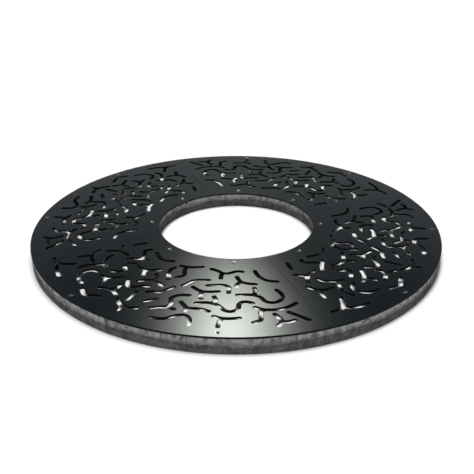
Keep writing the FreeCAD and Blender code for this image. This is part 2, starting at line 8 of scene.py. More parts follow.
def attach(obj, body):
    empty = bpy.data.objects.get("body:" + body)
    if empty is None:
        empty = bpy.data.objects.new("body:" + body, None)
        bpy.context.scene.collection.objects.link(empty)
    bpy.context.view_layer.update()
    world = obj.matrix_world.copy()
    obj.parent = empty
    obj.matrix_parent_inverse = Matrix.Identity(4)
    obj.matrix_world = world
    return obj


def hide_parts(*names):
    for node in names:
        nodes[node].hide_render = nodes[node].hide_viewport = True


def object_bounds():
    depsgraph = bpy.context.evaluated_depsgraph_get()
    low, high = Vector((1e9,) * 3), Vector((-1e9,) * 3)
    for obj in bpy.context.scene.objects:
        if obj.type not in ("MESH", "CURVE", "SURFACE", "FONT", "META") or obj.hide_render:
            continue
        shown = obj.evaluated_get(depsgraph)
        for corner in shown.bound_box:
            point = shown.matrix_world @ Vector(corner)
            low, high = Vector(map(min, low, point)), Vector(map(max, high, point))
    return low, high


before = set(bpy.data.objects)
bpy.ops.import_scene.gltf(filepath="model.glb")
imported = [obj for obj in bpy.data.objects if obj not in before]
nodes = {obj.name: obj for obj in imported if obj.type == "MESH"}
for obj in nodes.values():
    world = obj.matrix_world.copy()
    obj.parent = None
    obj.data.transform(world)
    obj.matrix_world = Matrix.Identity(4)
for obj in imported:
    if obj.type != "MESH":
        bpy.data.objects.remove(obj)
cad_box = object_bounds()
scene = bpy.context.scene


# Frame bars
# Flat bars of hot-rolled steel on edge: the rims are rolled to the circle, the end bars run along the seams.
# They are welded into four quarter frames and dipped in molten zinc, which leaves a mottled grey skin.
BAR_EDGE = 0.0008
EDGE_STEPS = 2
SHARP_ANGLE = math.radians(35)

# Faces that bend by less than the flat angle are one flat. Points closer than this distance are one point.
FLAT_ANGLE = math.radians(0.1)
SAME_POINT = 0.00001

zinc_dark = (0.155, 0.158, 0.155, 1)
zinc_light = (0.45, 0.455, 0.446, 1)
# Painted light on the bars: a dark grey for the painted shade low down and a pale grey for the painted
# highlight on top.
zinc_painted_shade = (0.065, 0.067, 0.065, 1)
zinc_painted_highlight = (0.66, 0.665, 0.652, 1)
bare_zinc = (0.50, 0.50, 0.49, 1)
zinc_glint = (0.3, 0.3, 0.3, 1)

# Layers of ever finer noise that lie over each other.
SMOOTH, SOFT, ROUGH, RAGGED = 2.0, 3.0, 4.0, 5.0
NOISE_MIDDLE = 0.5

# Crystals in the zinc skin, and how far their borders wander.
CRYSTALS_PER_METRE = 95.0
BORDER_DRIFT = 0.008
DRIFTS_PER_METRE = 60.0

# Rubbed corners. The bend is the cosine between a face and its rounded corner, from untouched to worn.
CORNER_SAMPLES = 4
CORNER_BEND = (0.998, 0.9)
CORNER_BREAKS = (0.42, 0.62)
ZINC_WEAR_WIDTH = 0.0015
ZINC_WEAR_PER_METRE = 70.0
ZINC_WEAR_SHARE = 0.6

# Tone of the skin, from crystals, runs down the bar and soft clouds.
RUNS_PER_METRE = 75.0
RUN_SQUEEZE = 0.12
CLOUDS_PER_METRE = 26.0
CRYSTAL_SHARE = 0.34
RUN_SHARE = 0.5
CLOUD_SHARE = 0.5
TONE_RANGE = (0.36, 1.0)
# Heights over which the top of a bar turns towards a painted highlight, a painted reflection of the lit
# ground.
PAINTED_HIGHLIGHT_HEIGHTS = (0.022, 0.042)

# Wavy dark line with a greyer foot under it, both painted shade that stands for a reflection of shaded
# ground. The zones are heights about the line.
SHADE_LINE_HEIGHT = 0.020
SHADE_LINE_WAVES = 8.0
SHADE_LINE_PHASE = 1.4
SHADE_LINE_WAVE_HEIGHT = 0.003
SHADE_LINE_RAGS_PER_METRE = 9.0
SHADE_LINE_RAG_HEIGHT = 0.022
SHADE_LINE_HALF_WIDTH = 0.009
SHADE_LINE_SHARE = 0.72
SHADED_FOOT_ZONE = (0.014, -0.002)
SHADED_FOOT_SHARE = 0.58

# Surface of the skin. The roughness goes from its dark to its light tone.
ZINC_ROUGHNESS = (0.52, 0.38)
ZINC_METALLIC = 0.12
CRYSTAL_RELIEF = 0.15
GRAINS_PER_METRE = 260.0
ZINC_BUMP = {"Strength": 0.35, "Distance": 0.0006}


def feed(tree, socket, value):
    """Sets an input to a value, or links it to another socket."""
    if isinstance(value, bpy.types.NodeSocket):
        tree.links.new(value, socket)
    else:
        socket.default_value = value


def add_node(tree, kind, inputs=None, **settings):
    """Adds a shader node. Inputs are values or sockets to link, by socket name or number."""
    made = tree.nodes.new(kind)
    for name, value in settings.items():
        setattr(made, name, value)
    for name, value in (inputs or {}).items():
        feed(tree, made.inputs[name], value)
    return made


def calculate(tree, operation, first, second=0.0):
    """One sum on numbers or sockets."""
    return add_node(tree, "ShaderNodeMath", {0: first, 1: second}, operation=operation).outputs[0]


def calculate_vector(tree, operation, first, second=(0, 0, 0)):
    """One sum on vectors or sockets. A dot product and a length come out as a number."""
    made = add_node(tree, "ShaderNodeVectorMath", {0: first, 1: second}, operation=operation)
    return made.outputs["Value" if operation in ("DOT_PRODUCT", "LENGTH") else "Vector"]


def fade(tree, value, start, end, low=0.0, high=1.0):
    """Smooth step from low at start to high at end."""
    inputs = {"Value": value, "From Min": start, "From Max": end, "To Min": low, "To Max": high}
    return add_node(tree, "ShaderNodeMapRange", inputs, interpolation_type="SMOOTHSTEP").outputs["Result"]


def cloud(tree, place, scale, detail=SOFT):
    """Soft noise from 0 to 1 with so many spots to a metre."""
    inputs = {"Vector": place, "Scale": scale, "Detail": detail}
    return add_node(tree, "ShaderNodeTexNoise", inputs).outputs["Fac"]


def blend_colours(tree, share, first, second):
    """Mix of two colours, all first at a share of 0 and all second at 1."""
    inputs = {"Factor": share, "A": first, "B": second}
    made = add_node(tree, "ShaderNodeMix", data_type="RGBA")
    for socket in made.inputs:
        if socket.enabled and socket.name in inputs:
            feed(tree, socket, inputs[socket.name])
    return next(socket for socket in made.outputs if socket.enabled)


def new_group(name, inputs, outputs):
    """Shader node group with named sockets: the group, what comes in and what goes out."""
    group = bpy.data.node_groups.new(name, "ShaderNodeTree")
    for socket, kind in inputs.items():
        group.interface.new_socket(socket, in_out="INPUT", socket_type=kind)
    for socket in outputs:
        group.interface.new_socket(socket, in_out="OUTPUT", socket_type="NodeSocketFloat")
    entry = group.nodes.new("NodeGroupInput")
    result = group.nodes.new("NodeGroupOutput")
    return group, entry.outputs, result.inputs


def use_group(tree, group, inputs):
    """Places a node group in a material, with its own values: what comes out of it."""
    return add_node(tree, "ShaderNodeGroup", inputs, node_tree=group).outputs


def make_spangle():
    """Zinc crystals: flat patches of slightly different grey that run into each other."""
    group, given, result = new_group(
        "zinc_spangle", {"Place": "NodeSocketVector", "Crystals": "NodeSocketFloat"}, ("Shade", "Relief"))
    noise = {"Vector": given["Place"], "Scale": DRIFTS_PER_METRE, "Detail": SMOOTH}
    drift = add_node(group, "ShaderNodeTexNoise", noise).outputs["Color"]
    offset = calculate_vector(group, "MULTIPLY", drift, (BORDER_DRIFT, BORDER_DRIFT, BORDER_DRIFT))
    moved = calculate_vector(group, "ADD", given["Place"], offset)
    crystals = add_node(group, "ShaderNodeTexVoronoi", {"Vector": moved, "Scale": given["Crystals"]}).outputs
    shade = add_node(group, "ShaderNodeSeparateColor", {0: crystals["Color"]}).outputs[0]
    group.links.new(shade, result["Shade"])
    group.links.new(crystals["Distance"], result["Relief"])
    return group


def make_edge_wear():
    """Rubbed edges: 1 along corners, broken up, and 0 on the flats."""
    group, given, result = new_group(
        "edge_wear", {"Place": "NodeSocketVector", "Width": "NodeSocketFloat", "Breaks": "NodeSocketFloat"},
        ("Wear",))
    rounded = add_node(group, "ShaderNodeBevel", {"Radius": given["Width"]}, samples=CORNER_SAMPLES)
    flat = add_node(group, "ShaderNodeNewGeometry").outputs["Normal"]
    same = calculate_vector(group, "DOT_PRODUCT", rounded.outputs[0], flat)
    corner = fade(group, same, *CORNER_BEND)
    broken = fade(group, cloud(group, given["Place"], given["Breaks"]), *CORNER_BREAKS)
    group.links.new(calculate(group, "MULTIPLY", corner, broken), result["Wear"])
    return group


def start_nodes(owner, output_kind):
    """Empties a node tree but for its output: the tree, and where its shader goes."""
    owner.use_nodes = True
    tree = owner.node_tree
    tree.nodes.clear()
    return tree, add_node(tree, output_kind).inputs["Surface"]


def new_finish(name):
    """New material: the material, its tree, where its shader goes, and places on the piece."""
    finish = bpy.data.materials.new(name)
    tree, surface = start_nodes(finish, "ShaderNodeOutputMaterial")
    place = add_node(tree, "ShaderNodeTexCoord").outputs["Object"]
    return finish, tree, surface, place


def round_edges(node, width):
    """Rounds the sharp edges of a piece, as rolling, coating or wear leaves them."""
    piece = nodes[node]
    weld = piece.modifiers.new("joined_faces", "WELD")
    weld.merge_threshold = SAME_POINT
    whole = piece.modifiers.new("whole_flats", "DECIMATE")
    whole.decimate_type = "DISSOLVE"
    whole.angle_limit = FLAT_ANGLE
    edges = piece.modifiers.new("round_edges", "BEVEL")
    edges.width = width
    edges.segments = EDGE_STEPS
    edges.limit_method = "ANGLE"
    edges.angle_limit = SHARP_ANGLE
    edges.use_clamp_overlap = False
    shading = piece.modifiers.new("even_shading", "WEIGHTED_NORMAL")
    shading.keep_sharp = False


def paint(node, finish):
    """Gives a CAD node its finish."""
    nodes[node].data.materials.clear()
    nodes[node].data.materials.append(finish)


def make_zinc_finish(spangle, edge_wear):
    """Dull zinc with cloudy crystals and faint runs down the bar, a painted highlight on top, and a wavy
    line of painted shade above a foot greyed by painted shade.
    """
    finish, tree, surface, place = new_finish("hot_dip_zinc")
    crystals = use_group(tree, spangle, {"Place": place, "Crystals": CRYSTALS_PER_METRE})
    rubbing = {"Place": place, "Width": ZINC_WEAR_WIDTH, "Breaks": ZINC_WEAR_PER_METRE}
    wear = use_group(tree, edge_wear, rubbing)["Wear"]
    drawn_out = calculate_vector(tree, "MULTIPLY", place, (1.0, 1.0, RUN_SQUEEZE))
    runs = cloud(tree, drawn_out, RUNS_PER_METRE)
    clouds = cloud(tree, place, CLOUDS_PER_METRE, RAGGED)
    crystal_part = calculate(tree, "MULTIPLY", crystals["Shade"], CRYSTAL_SHARE)
    run_part = calculate(tree, "MULTIPLY", runs, RUN_SHARE)
    cloud_part = calculate(tree, "MULTIPLY", clouds, CLOUD_SHARE)
    mixed = calculate(tree, "ADD", calculate(tree, "ADD", crystal_part, run_part), cloud_part)
    tone = fade(tree, mixed, *TONE_RANGE)
    skin = blend_colours(tree, tone, zinc_dark, zinc_light)

    sides = add_node(tree, "ShaderNodeSeparateXYZ", {0: place}).outputs
    # Painted highlight: the upper part of the bar is paled as if it reflected the lit ground.
    painted_highlight = calculate(tree, "MULTIPLY", tone, fade(tree, sides["Z"], *PAINTED_HIGHLIGHT_HEIGHTS))
    skin = blend_colours(tree, painted_highlight, skin, zinc_painted_highlight)

    # Painted shade: a wavy dark line and a darker foot low on the bar, standing for a reflection of the
    # shaded ground.
    turn = calculate(tree, "ARCTAN2", sides["Y"], sides["X"])
    swing = calculate(tree, "ADD", calculate(tree, "MULTIPLY", turn, SHADE_LINE_WAVES), SHADE_LINE_PHASE)
    wave = calculate(tree, "MULTIPLY", calculate(tree, "SINE", swing), SHADE_LINE_WAVE_HEIGHT)
    rags = calculate(tree, "SUBTRACT", cloud(tree, place, SHADE_LINE_RAGS_PER_METRE), NOISE_MIDDLE)
    ragged = calculate(tree, "MULTIPLY", rags, SHADE_LINE_RAG_HEIGHT)
    line = calculate(tree, "ADD", calculate(tree, "ADD", wave, ragged), SHADE_LINE_HEIGHT)
    above = calculate(tree, "SUBTRACT", sides["Z"], line)
    foot = fade(tree, above, *SHADED_FOOT_ZONE, 0.0, SHADED_FOOT_SHARE)
    shade_line = fade(tree, calculate(tree, "ABSOLUTE", above), SHADE_LINE_HALF_WIDTH, 0.0, 0.0, SHADE_LINE_SHARE)
    painted_shade_skin = blend_colours(tree, calculate(tree, "MAXIMUM", foot, shade_line), skin, zinc_painted_shade)
    colour = blend_colours(tree, calculate(tree, "MULTIPLY", wear, ZINC_WEAR_SHARE), painted_shade_skin, bare_zinc)

    roughness = fade(tree, tone, 0.0, 1.0, *ZINC_ROUGHNESS)
    crystal_height = calculate(tree, "MULTIPLY", crystals["Relief"], CRYSTAL_RELIEF)
    relief = calculate(tree, "ADD", crystal_height, cloud(tree, place, GRAINS_PER_METRE, ROUGH))
    bump = add_node(tree, "ShaderNodeBump", {**ZINC_BUMP, "Height": relief})
    shader = add_node(tree, "ShaderNodeBsdfPrincipled", {
        "Base Color": colour, "Metallic": ZINC_METALLIC, "Roughness": roughness, "Specular IOR Level": 0.0,
        "Specular Tint": zinc_glint, "Normal": bump.outputs[0]})
    tree.links.new(shader.outputs["BSDF"], surface)
    return finish


spangle = make_spangle()
edge_wear = make_edge_wear()
galvanised = make_zinc_finish(spangle, edge_wear)
frame_bars = [name for name in nodes if name.endswith(("_rim", "_end_bar"))]
for name in frame_bars:
    round_edges(name, BAR_EDGE)
    paint(name, galvanised)


# Tapped lugs
# Short blocks of 10 mm flat steel under the plates, drilled and tapped for the plate screws.
# Each is cut to the curve of its rim, welded to it and galvanised with it.
LUG_EDGE = 0.0006
lug_nodes = [name for name in nodes if name.endswith("_lugs")]
for name in lug_nodes:
    round_edges(name, LUG_EDGE)
    paint(name, galvanised)


# Weld beads
# Fillet welds that hold the quarter frames together: under and beside each lug, and in the four inner
# corners between end bars and rims. They were laid before the zinc bath and carry the same skin.
QUARTERS = ("back_right", "back_left", "front_left", "front_right")
QUARTER_TURN = math.pi / 2
FULL_TURN = 2 * math.pi
SEAM_TURNS = {"right": 0.0, "back": QUARTER_TURN, "left": 2 * QUARTER_TURN, "front": 3 * QUARTER_TURN}
UP = Vector((0, 0, 1))

# Sizes of a bead. Its crown, its size at the ends and the depth of its ripples are shares of the leg.
BEAD_LEG = 0.004
BEAD_SUNK = 0.0003
BEAD_STEP = 0.00055
BEAD_FEWEST_STEPS = 2
BEAD_CROWN = 0.78
BEAD_TAPER = 0.003
BEAD_START = 0.45
BEAD_SIDES = 6
RIPPLE_PITCH = 0.0022
RIPPLE_DEPTH = 0.12
CORNER_BEAD_LOW = 0.003
CORNER_BEAD_HIGH = 0.042
LUG_BEAD_SHORT = 0.0006


def solids_of(node):
    """The separate solids of a CAD node, each as a list of its points."""
    shape = bmesh.new()
    shape.from_mesh(nodes[node].data)
    bmesh.ops.remove_doubles(shape, verts=shape.verts, dist=SAME_POINT)
    seen = set()
    solids = []
    for start in shape.verts:
        if start in seen:
            continue
        seen.add(start)
        reached = [start]
        for point in reached:
            for edge in point.link_edges:
                other = edge.other_vert(point)
                if other not in seen:
                    seen.add(other)
                    reached.append(other)
        solids.append([point.co.copy() for point in reached])
    shape.free()
    return solids


def span(points, direction):
    """Lowest and highest place of some points along a direction."""
    places = [point.dot(direction) for point in points]
    return min(places), max(places)


def heading_at(turn):
    """Level direction at an angle about the middle of the grate."""
    return Vector((math.cos(turn), math.sin(turn), 0))


def add_loft(shape, loops, closed=False):
    """Skin over loops of equally many points. It has flat ends, unless the last loop closes on the first."""
    rings = [[shape.verts.new(point) for point in loop] for loop in loops]
    pairs = list(zip(rings, rings[1:]))
    if closed:
        pairs.append((rings[-1], rings[0]))
    else:
        shape.faces.new(reversed(rings[0]))
        shape.faces.new(rings[-1])
    for lower, upper in pairs:
        for number in range(len(lower)):
            shape.faces.new((lower[number - 1], lower[number], upper[number], upper[number - 1]))


def close_mesh(shape, name):
    """Turns a finished skin into a mesh with its faces outward and its curves smooth."""
    bmesh.ops.recalc_face_normals(shape, faces=shape.faces)
    mesh = bpy.data.meshes.new(name)
    shape.to_mesh(mesh)
    shape.free()
    mesh.shade_smooth()
    mesh.set_sharp_from_angle(angle=SHARP_ANGLE)
    return mesh


def add_bead(shape, corners):
    """Rippled bead along a corner, given as places, each with the directions of the two faces that meet."""
    places = [place for place, _, _ in corners]
    reached = [0.0]
    for before, after in zip(places, places[1:]):
        reached.append(reached[-1] + (after - before).length)
    loops = []
    for (place, first, second), along in zip(corners, reached):
        from_end = min(along, reached[-1] - along)
        taper = min(1.0, BEAD_START + from_end / BEAD_TAPER)
        ripple = 1 + RIPPLE_DEPTH * (abs(math.sin(math.pi * along / RIPPLE_PITCH)) - 1)
        leg = BEAD_LEG * taper * ripple
        root = place - (first + second) * BEAD_SUNK
        loop = [root, root + first * leg]
        for number in range(BEAD_SIDES + 1):
            lean = QUARTER_TURN * number / BEAD_SIDES
            crown = BEAD_CROWN + (1 - BEAD_CROWN) * abs(math.cos(2 * lean))
            loop.append(place + (first * math.cos(lean) + second * math.sin(lean)) * (leg * crown))
        loop.append(root + second * leg)
        loops.append(loop)
    add_loft(shape, loops)


def steps_between(start, end, length):
    """Evenly spaced values from start to end, one for each step of a bead of this length."""
    count = max(BEAD_FEWEST_STEPS, round(length / BEAD_STEP))
    return [start + (end - start) * number / count for number in range(count + 1)]


def add_lug_beads(shape, lug, is_outer):
    """Beads along the three sides of a lug that can be reached from below."""
    turns = [math.atan2(point.y, point.x) for point in lug]
    if max(turns) - min(turns) > math.pi:
        turns = [turn % FULL_TURN for turn in turns]
    middle = (min(turns) + max(turns)) / 2
    radii = [point.xy.length for point in lug]
    rim_radius = max(radii) if is_outer else min(radii)
    inward = -1 if is_outer else 1
    _, half_width = span(lug, heading_at(middle + QUARTER_TURN))
    low, high = span(lug, UP)
    half_turn = math.asin(half_width / rim_radius)
    under = []
    for turn in steps_between(middle - half_turn, middle + half_turn, 2 * half_width):
        out = heading_at(turn)
        under.append((out * rim_radius + UP * low, -UP, out * inward))
    add_bead(shape, under)
    for side in (-1, 1):
        turn = middle + side * half_turn
        foot = heading_at(turn) * rim_radius
        along_rim = heading_at(turn + side * QUARTER_TURN)
        along_lug = heading_at(middle) * inward
        flank = [(foot + UP * height, along_rim, along_lug)
                 for height in steps_between(low, high - LUG_BEAD_SHORT, high - low)]
        add_bead(shape, flank)


def add_corner_beads(shape, bar, seam_turn, rims):
    """Upright beads where an end bar meets the inner and the outer rim."""
    out = heading_at(seam_turn)
    across = heading_at(seam_turn + QUARTER_TURN)
    near, far = span(bar, across)
    side = 1 if near > 0 else -1
    face = far if side > 0 else near
    length = CORNER_BEAD_HIGH - CORNER_BEAD_LOW
    for rim_radius, away in rims:
        foot = out * math.sqrt(rim_radius ** 2 - face ** 2) + across * face
        bead = [(foot + UP * height, out * away, across * side)
                for height in steps_between(CORNER_BEAD_LOW, CORNER_BEAD_HIGH, length)]
        add_bead(shape, bead)


for quarter in QUARTERS:
    beads = bmesh.new()
    for row in ("inner", "outer"):
        for lug in solids_of(f"{quarter}_{row}_lugs"):
            add_lug_beads(beads, lug, row == "outer")
    inner_rim = max(point.xy.length for point in solids_of(f"{quarter}_inner_rim")[0])
    outer_rim = min(point.xy.length for point in solids_of(f"{quarter}_outer_rim")[0])
    for seam, seam_turn in SEAM_TURNS.items():
        bar_name = f"{quarter}_{seam}_end_bar"
        if bar_name in nodes:
            add_corner_beads(beads, solids_of(bar_name)[0], seam_turn, ((inner_rim, 1), (outer_rim, -1)))
    welds = bpy.data.objects.new(f"{quarter}_welds", close_mesh(beads, f"{quarter}_welds"))
    welds.data.materials.append(galvanised)
    scene.collection.objects.link(welds)
    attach(welds, "frame")


# Seam bolts, nuts, washers and spacers
# M10 steel fasteners with a thin zinc plating that clamp neighbouring quarter frames together, end bar to
# end bar. The bolts are forged with chamfered hexagon heads and rolled threads. A spacer fills the joint.
LOOP_POINTS = 48
HEX_SIDES = 6
HEX_WIDTH = 0.016

# The chamfer of a hexagon end is drawn in steps, at these depths below its flat face.
HEX_CHAMFER_RADIUS = 0.0076
HEX_CHAMFER_SLOPE = math.tan(math.radians(60))
HEX_CHAMFER_DROPS = (0.0, 0.00023, 0.00045, 0.0007, 0.00096)

BOLT_HEAD = 0.0064
BOLT_COLLAR = 0.0004
BOLT_RADIUS = 0.005
BOLT_ROOT = 0.0042
BOLT_PITCH = 0.0015
BOLT_PLAIN = 0.003
BOLT_END_CHAMFER = 0.001
THREAD_STEPS = 4
NUT_HEIGHT = 0.0084
NUT_BORE = 0.0053
NUT_BORE_CHAMFER = 0.0004
RING_EDGE = 0.0002

plating_dark = (0.30, 0.31, 0.33, 1)
plating_light = (0.47, 0.48, 0.50, 1)
plating_rubbed = (0.60, 0.60, 0.59, 1)
PLATING_WEAR_WIDTH = 0.0006
PLATING_WEAR_PER_METRE = 220.0
PLATING_PATCHES_PER_METRE = 160.0
PLATING_PATCHES = (0.35, 0.7)
PLATING_ROUGHNESS = (0.46, 0.34)
PLATING_METALLIC = 0.9
PLATING_GRAINS_PER_METRE = 900.0
PLATING_BUMP = {"Strength": 0.2, "Distance": 0.0002}


def make_plating(edge_wear):
    """Bright zinc plating gone slightly dull, with cloudy patches and polished corners."""
    finish, tree, surface, place = new_finish("zinc_plating")
    rubbing = {"Place": place, "Width": PLATING_WEAR_WIDTH, "Breaks": PLATING_WEAR_PER_METRE}
    wear = use_group(tree, edge_wear, rubbing)["Wear"]
    patches = fade(tree, cloud(tree, place, PLATING_PATCHES_PER_METRE, ROUGH), *PLATING_PATCHES)
    skin = blend_colours(tree, patches, plating_dark, plating_light)
    colour = blend_colours(tree, wear, skin, plating_rubbed)
    roughness = fade(tree, patches, 0.0, 1.0, *PLATING_ROUGHNESS)
    grain = cloud(tree, place, PLATING_GRAINS_PER_METRE, SMOOTH)
    bump = add_node(tree, "ShaderNodeBump", {**PLATING_BUMP, "Height": grain})
    shader = add_node(tree, "ShaderNodeBsdfPrincipled", {
        "Base Color": colour, "Metallic": PLATING_METALLIC, "Roughness": roughness,
        "Normal": bump.outputs[0]})
    tree.links.new(shader.outputs["BSDF"], surface)
    return finish


def round_loop(height, radius):
    """Points of a loop about the Z axis. The radius is a number, or a function of the angle."""
    loop = []
    for number in range(LOOP_POINTS):
        angle = FULL_TURN * number / LOOP_POINTS
        reach = radius(angle) if callable(radius) else radius
        loop.append(heading_at(angle) * reach + UP * height)
    return loop


def hexagon(width, most=math.inf):
    """Radius of a hexagon by angle, with its corners cut off at the largest radius."""
    step = FULL_TURN / HEX_SIDES
    return lambda angle: min(most, width / 2 / math.cos((angle + step / 2) % step - step / 2))


def hexagon_end(height, side):
    """Loops of a chamfered hexagon end, from its flat face inward. Side is 1 for an upper end."""
    loops = []
    for drop in HEX_CHAMFER_DROPS:
        most = HEX_CHAMFER_RADIUS + drop * HEX_CHAMFER_SLOPE
        loops.append(round_loop(height - side * drop, hexagon(HEX_WIDTH, most)))
    return loops


def thread_loops(low, high, root, crest, pitch):
    """Loops of an outside thread, so close that its ridge winds up as one helix."""
    loops = []
    count = round((high - low) / pitch * THREAD_STEPS)
    for number in range(count + 1):
        height = low + (high - low) * number / count

        def ridge(angle, height=height):
            phase = (height / pitch - angle / FULL_TURN) % 1.0
            return root + (crest - root) * (1 - abs(2 * phase - 1))

        loops.append(round_loop(height, ridge))
    return loops


def make_bolt_mesh(length):
    """Bolt along Z with its head below the seat at zero."""
    loops = hexagon_end(-BOLT_HEAD, -1)
    loops.append(round_loop(-BOLT_COLLAR, hexagon(HEX_WIDTH)))
    loops.append(round_loop(-BOLT_COLLAR, HEX_CHAMFER_RADIUS))
    loops.append(round_loop(0, HEX_CHAMFER_RADIUS))
    loops.append(round_loop(0, BOLT_RADIUS))
    loops.append(round_loop(BOLT_PLAIN, BOLT_RADIUS))
    thread_end = length - BOLT_END_CHAMFER
    loops += thread_loops(BOLT_PLAIN + BOLT_PITCH / 2, thread_end, BOLT_ROOT, BOLT_RADIUS, BOLT_PITCH)
    loops.append(round_loop(length, BOLT_ROOT - BOLT_END_CHAMFER / 2))
    shape = bmesh.new()
    add_loft(shape, loops)
    return close_mesh(shape, "seam_bolt")


def make_nut_mesh():
    """Nut along Z from its seat at zero, with its bore."""
    loops = hexagon_end(0, -1) + hexagon_end(NUT_HEIGHT, 1)[::-1]
    mouth = NUT_BORE + NUT_BORE_CHAMFER
    loops.append(round_loop(NUT_HEIGHT, mouth))
    loops.append(round_loop(NUT_HEIGHT - NUT_BORE_CHAMFER, NUT_BORE))
    loops.append(round_loop(NUT_BORE_CHAMFER, NUT_BORE))
    loops.append(round_loop(0, mouth))
    shape = bmesh.new()
    add_loft(shape, loops, closed=True)
    return close_mesh(shape, "seam_nut")


def place_fastener(name, mesh, origin, along, out):
    """Fastener with its Z axis along the bolt and one flat towards the outside of the grate."""
    piece = bpy.data.objects.new(name, mesh)
    turn = Matrix((out, along.cross(out), along)).transposed()
    piece.matrix_world = Matrix.Translation(origin) @ turn.to_4x4()
    scene.collection.objects.link(piece)
    return piece


zinc_plating = make_plating(edge_wear)
bolt_start, bolt_end = span(solids_of("right_seam_bolts")[0], heading_at(SEAM_TURNS["right"] + QUARTER_TURN))
head_heights = {"bolt": BOLT_HEAD, "nut": 0.0}
fastener_meshes = {"bolt": make_bolt_mesh(bolt_end - bolt_start - BOLT_HEAD), "nut": make_nut_mesh()}
for mesh in fastener_meshes.values():
    mesh.materials.append(zinc_plating)
for seam, seam_turn in SEAM_TURNS.items():
    out = heading_at(seam_turn)
    along = heading_at(seam_turn + QUARTER_TURN)
    for kind, mesh in fastener_meshes.items():
        node = f"{seam}_seam_{kind}s"
        for number, solid in enumerate(solids_of(node), start=1):
            middle = sum(span(solid, out)) / 2
            height = sum(span(solid, UP)) / 2
            seat = span(solid, along)[0] + head_heights[kind]
            origin = out * middle + along * seat + UP * height
            piece = place_fastener(f"{seam}_seam_{kind}_{number}", mesh, origin, along, out)
            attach(piece, "frame")
            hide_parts(node)
    for kind in ("washers", "spacers"):
        node = f"{seam}_seam_{kind}"
        round_edges(node, RING_EDGE)
        paint(node, zinc_plating)


# Quarter plates
# Four quarters of a ring, laser cut with drainage slots out of 6 mm steel plate and powder coated in a dark
# semi-gloss anthracite. Each lies on the bars and is held by four countersunk screws.
PLATE_EDGE = 0.0005
coat_colour = (0.0080, 0.0101, 0.0121, 1)
coat_pale = (0.0106, 0.0130, 0.0152, 1)
rubbed_coat = (0.050, 0.054, 0.056, 1)
COAT_WEAR_WIDTH = 0.0012
COAT_WEAR_PER_METRE = 55.0
COAT_WEAR_SHARE = 0.5
HANDLING_PER_METRE = 6.0
HANDLING_RANGE = (0.35, 0.75)

# Surface of the coat. Its roughness and its gloss go from untouched to handled places.
COAT_ROUGHNESS = (0.55, 0.65)
COAT_GLOSS = (1.0, 0.93)
GLOSS_ROUGHNESS = 0.14
COAT_IOR = 1.5
GLOSS_IOR = 1.55
PEEL_PER_METRE = 700.0
PEEL_BUMP = {"Strength": 0.010, "Distance": 0.0003}

# The gloss fades from flat faces to the cut edges. The slope is the upright part of a face's direction.
EDGE_SLOPE = (0.3, 0.8)
EDGE_GLOSS = 0.08


def make_powder_coat(edge_wear):
    """Baked powder coat: a fine orange peel, gloss that is dull on the cut edges, and rubbed corners."""
    finish, tree, surface, place = new_finish("anthracite_powder_coat")
    rubbing = {"Place": place, "Width": COAT_WEAR_WIDTH, "Breaks": COAT_WEAR_PER_METRE}
    wear = use_group(tree, edge_wear, rubbing)["Wear"]
    handling = fade(tree, cloud(tree, place, HANDLING_PER_METRE, RAGGED), *HANDLING_RANGE)
    coat = blend_colours(tree, handling, coat_colour, coat_pale)
    colour = blend_colours(tree, calculate(tree, "MULTIPLY", wear, COAT_WEAR_SHARE), coat, rubbed_coat)
    roughness = fade(tree, handling, 0.0, 1.0, *COAT_ROUGHNESS)
    peel = cloud(tree, place, PEEL_PER_METRE, SMOOTH)
    bump = add_node(tree, "ShaderNodeBump", {**PEEL_BUMP, "Height": peel})
    facing = add_node(tree, "ShaderNodeTexCoord").outputs["Normal"]
    upright = add_node(tree, "ShaderNodeSeparateXYZ", {0: facing}).outputs["Z"]
    on_flat = fade(tree, calculate(tree, "ABSOLUTE", upright), *EDGE_SLOPE, EDGE_GLOSS, 1.0)
    gloss = calculate(tree, "MULTIPLY", on_flat, fade(tree, handling, 0.0, 1.0, *COAT_GLOSS))
    shader = add_node(tree, "ShaderNodeBsdfPrincipled", {
        "Base Color": colour, "Roughness": roughness, "IOR": COAT_IOR, "Specular IOR Level": 0.0,
        "Coat Weight": gloss, "Coat Roughness": GLOSS_ROUGHNESS, "Coat IOR": GLOSS_IOR,
        "Normal": bump.outputs[0], "Coat Normal": bump.outputs[0]})
    tree.links.new(shader.outputs["BSDF"], surface)
    return finish


powder_coat = make_powder_coat(edge_wear)
for quarter in QUARTERS:
    round_edges(f"{quarter}_plate", PLATE_EDGE)
    paint(f"{quarter}_plate", powder_coat)


# Countersunk screws
# Sixteen M8 stainless screws with hexagon sockets, turned and rolled, that hold the plates down on the lugs.
# Their heads lie flush in the countersinks, each stopped at its own angle.
SCREW_RADIUS = 0.004
SCREW_ROOT = 0.0034
SCREW_PITCH = 0.00125
SCREW_LENGTH = 0.020
SCREW_POINT = 0.0008
HEAD_RADIUS = 0.008
HEAD_RIM = 0.00035
HEAD_ROUND = 0.00015
SOCKET_WIDTH = 0.005
SOCKET_MOUTH = 0.0031
SOCKET_CHAMFER = 0.00025
SOCKET_DEPTH = 0.003
SOCKET_POINT = 0.0036
SOCKET_POINT_RADIUS = 0.000625
SCREW_TURN = math.radians(37)

steel_dark = (0.17, 0.17, 0.166, 1)
steel_light = (0.29, 0.29, 0.283, 1)
# Colour of the painted shade inside the socket.
socket_painted_shade = (0.02, 0.02, 0.02, 1)
RINGS_PER_METRE = 2600.0
RING_BUMP = {"Strength": 0.12, "Distance": 0.00005}
STEEL_PATCHES_PER_METRE = 240.0
STEEL_PATCHES = (0.35, 0.7)
STEEL_METALLIC = 0.9
STEEL_GRAIN = (0.4, 1.6)
STEEL_ROUGHNESS = (0.10, 0.14)
# Softness of the painted socket shade at the mouth, and the depths over which it darkens.
SOCKET_SHADE_BORDER = 0.0002
SOCKET_SHADE_HEIGHTS = (-0.0001, -0.0012)


